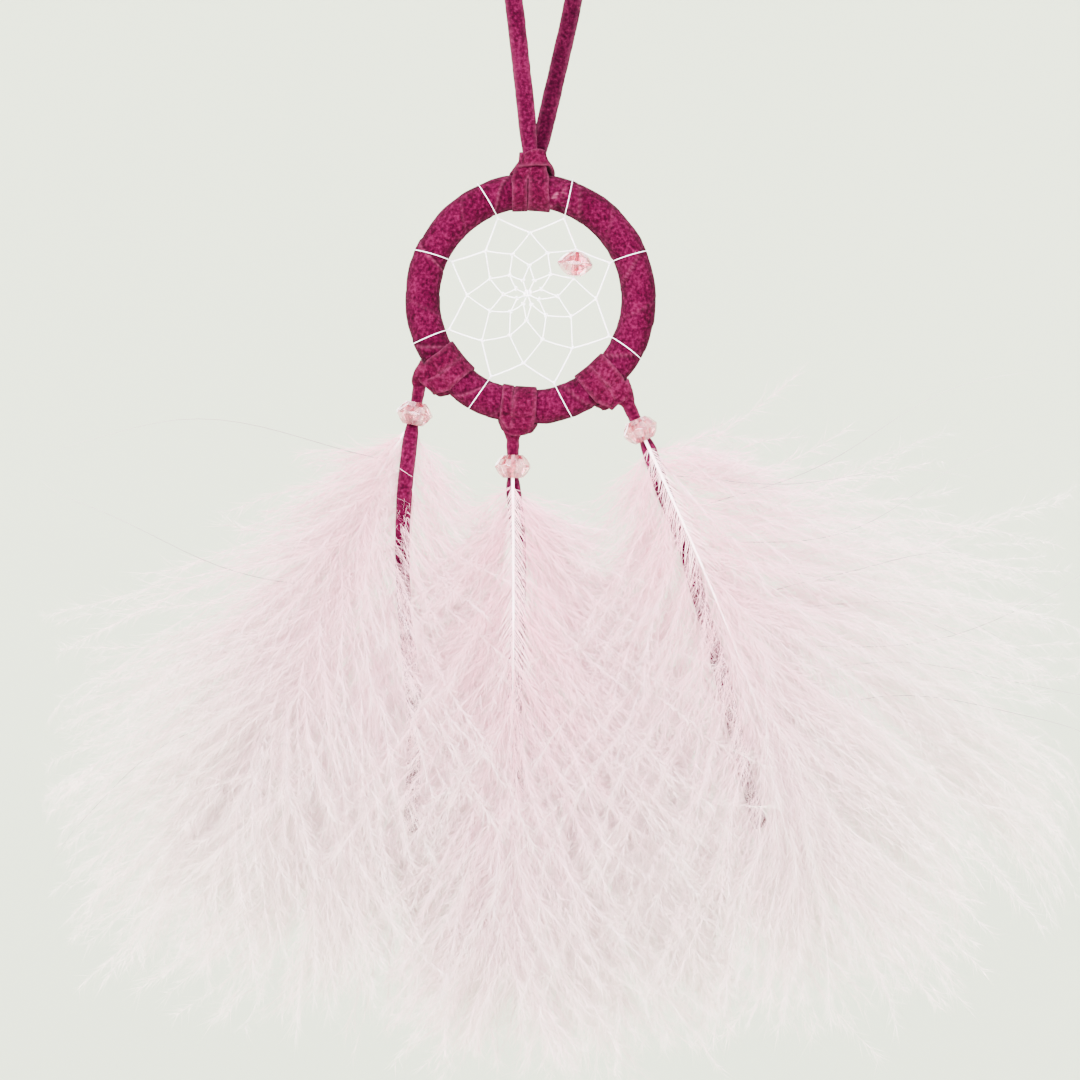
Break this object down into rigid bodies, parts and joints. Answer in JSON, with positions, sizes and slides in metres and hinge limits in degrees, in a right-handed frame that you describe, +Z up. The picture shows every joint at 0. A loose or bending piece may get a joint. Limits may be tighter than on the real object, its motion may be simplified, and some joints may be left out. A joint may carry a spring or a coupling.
{
  "type": "dream catcher",
  "caption": "Lace-wrapped hoop with a hand-tied thread web and a bead in it, hung on a lace loop, with bead and marabou plume pendants.",
  "frame": {"origin": "the inside top of the hanging loop, just under its end knot, where a nail or hook bears", "axes": "+Z up, +X to the right seen from the front, and the front faces -Y; the hoop lies in the XZ plane"},
  "size_m": [0.2143, 0.0318, 0.2936],
  "materials": {
    "suede_lace": "dyed suede, napped",
    "ring_steel": "plain drawn wire",
    "web_thread": "white twisted thread",
    "pink_bead": "clear pink, faceted and polished",
    "clear_glue": "clear craft glue",
    "feather_quill": "pale quill, slightly glossy",
    "marabou_down": "pale pink down"
  },
  "bodies": {
    "hanger": {"hanger_strand_left": "suede_lace", "hanger_strand_right": "suede_lace", "hanger_end_knot": "suede_lace"},
    "top_hitch": {"hanger_hitch": "suede_lace"},
    "hoop": {"hoop_core": "ring_steel", "hoop_wrap": "suede_lace", "web_net": "web_thread", "web_turns": "web_thread", "left_hitch": "suede_lace", "centre_hitch": "suede_lace", "right_hitch": "suede_lace"},
    "web_bead": {"web_bead": "pink_bead"},
    "left_neck": {"left_neck_lace": "suede_lace"},
    "centre_neck": {"centre_neck_lace": "suede_lace"},
    "right_neck": {"right_neck_lace": "suede_lace"},
    "left_pendant": {"left_bead": "pink_bead", "left_glue": "clear_glue", "left_bead_lace": "suede_lace", "left_front_quill": "feather_quill", "left_front_down": "marabou_down", "left_back_quill": "feather_quill", "left_back_down": "marabou_down"},
    "centre_pendant": {"centre_bead": "pink_bead", "centre_glue": "clear_glue", "centre_bead_lace": "suede_lace", "centre_front_quill": "feather_quill", "centre_front_down": "marabou_down", "centre_back_quill": "feather_quill", "centre_back_down": "marabou_down"},
    "right_pendant": {"right_bead": "pink_bead", "right_glue": "clear_glue", "right_bead_lace": "suede_lace", "right_front_quill": "feather_quill", "right_front_down": "marabou_down", "right_back_quill": "feather_quill", "right_back_down": "marabou_down"},
    "left_tail": {"left_tail_lace": "suede_lace"},
    "centre_tail": {"centre_tail_lace": "suede_lace"},
    "right_tail": {"right_tail_lace": "suede_lace"}
  },
  "joints": [
    {"name": "hanger_twist", "type": "hinge", "parent": "hanger", "child": "top_hitch", "pos_m": [0.0012, 0, -0.0771], "axis": [0, 0, 1], "range_deg": [-90, 90]},
    {"name": "hoop_swing", "type": "hinge", "parent": "top_hitch", "child": "hoop", "pos_m": [0, 0, -0.0865], "axis": [1, 0, 0], "range_deg": [-45, 45]},
    {"name": "web_bead_spin", "type": "hinge", "parent": "hoop", "child": "web_bead", "pos_m": [0.00971, 0, -0.10238], "axis": [0.1003, 0, 0.995], "continuous": true},
    {"name": "left_sway", "type": "hinge", "parent": "hoop", "child": "left_neck", "pos_m": [-0.02433, 0, -0.12982], "axis": [0.9848, 0, -0.1736], "range_deg": [-45, 45]},
    {"name": "left_swing", "type": "hinge", "parent": "left_neck", "child": "left_pendant", "pos_m": [-0.0245, 0, -0.13081], "axis": [0, 1, 0], "range_deg": [-12, 12], "deforming": ["left_front_down", "left_back_down"]},
    {"name": "left_tail_swing", "type": "hinge", "parent": "left_pendant", "child": "left_tail", "pos_m": [-0.026, 0, -0.13928], "axis": [0, 1, 0], "range_deg": [-10, 10]},
    {"name": "centre_sway", "type": "hinge", "parent": "hoop", "child": "centre_neck", "pos_m": [-0.00386, 0, -0.14122], "axis": [1, 0, 0], "range_deg": [-45, 45]},
    {"name": "centre_swing", "type": "hinge", "parent": "centre_neck", "child": "centre_pendant", "pos_m": [-0.00386, 0, -0.14222], "axis": [0, 1, 0], "range_deg": [-12, 12], "deforming": ["centre_front_down", "centre_back_down"]},
    {"name": "centre_tail_swing", "type": "hinge", "parent": "centre_pendant", "child": "centre_tail", "pos_m": [-0.00386, 0, -0.15082], "axis": [0, 1, 0], "range_deg": [-10, 10]},
    {"name": "right_sway", "type": "hinge", "parent": "hoop", "child": "right_neck", "pos_m": [0.02165, 0, -0.13379], "axis": [0.9063, 0, 0.4226], "range_deg": [-45, 45]},
    {"name": "right_swing", "type": "hinge", "parent": "right_neck", "child": "right_pendant", "pos_m": [0.02207, 0, -0.13469], "axis": [0, 1, 0], "range_deg": [-12, 12], "deforming": ["right_front_down", "right_back_down"]},
    {"name": "right_tail_swing", "type": "hinge", "parent": "right_pendant", "child": "right_tail", "pos_m": [0.02571, 0, -0.14249], "axis": [0, 1, 0], "range_deg": [-10, 10]}
  ]
}
